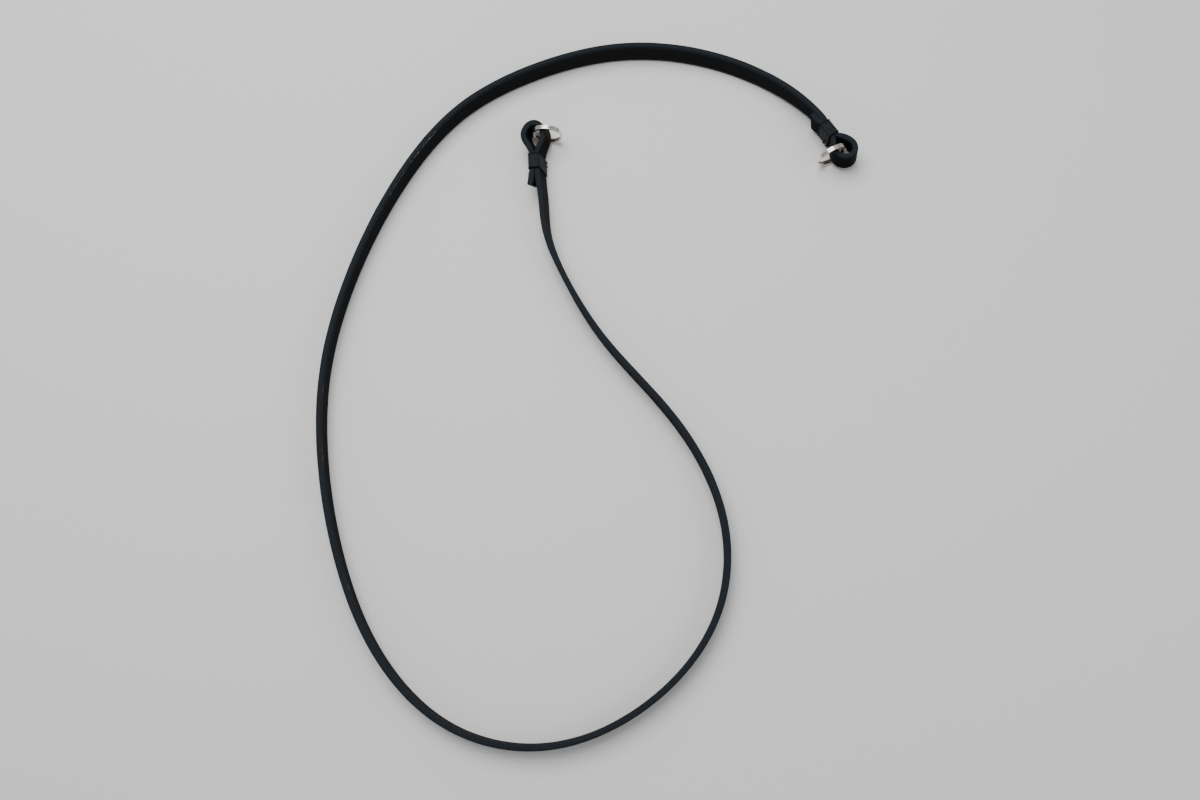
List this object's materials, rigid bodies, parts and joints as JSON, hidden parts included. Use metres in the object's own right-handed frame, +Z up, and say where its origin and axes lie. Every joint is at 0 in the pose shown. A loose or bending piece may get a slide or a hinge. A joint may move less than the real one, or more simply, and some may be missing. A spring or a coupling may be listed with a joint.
{
  "type": "camera strap",
  "caption": "Narrow black leather camera strap lying on its edge in an open loop, each end folded into a thread-bound eye round a split ring.",
  "frame": {"origin": "middle of the bounding box, on the surface that the strap lies on", "axes": "+Z up, +Y along the loop's long way towards the two ends, +X across the loop"},
  "size_m": [0.2719, 0.3597, 0.0162],
  "materials": {
    "leather": "satin, with worn edges",
    "thread": "waxed thread, satin",
    "ring_metal": "bright nickel plate"
  },
  "bodies": {
    "root": {"strap": "leather", "binding_left": "thread", "binding_right": "thread", "split_ring_left": "ring_metal", "split_ring_right": "ring_metal"}
  },
  "joints": []
}
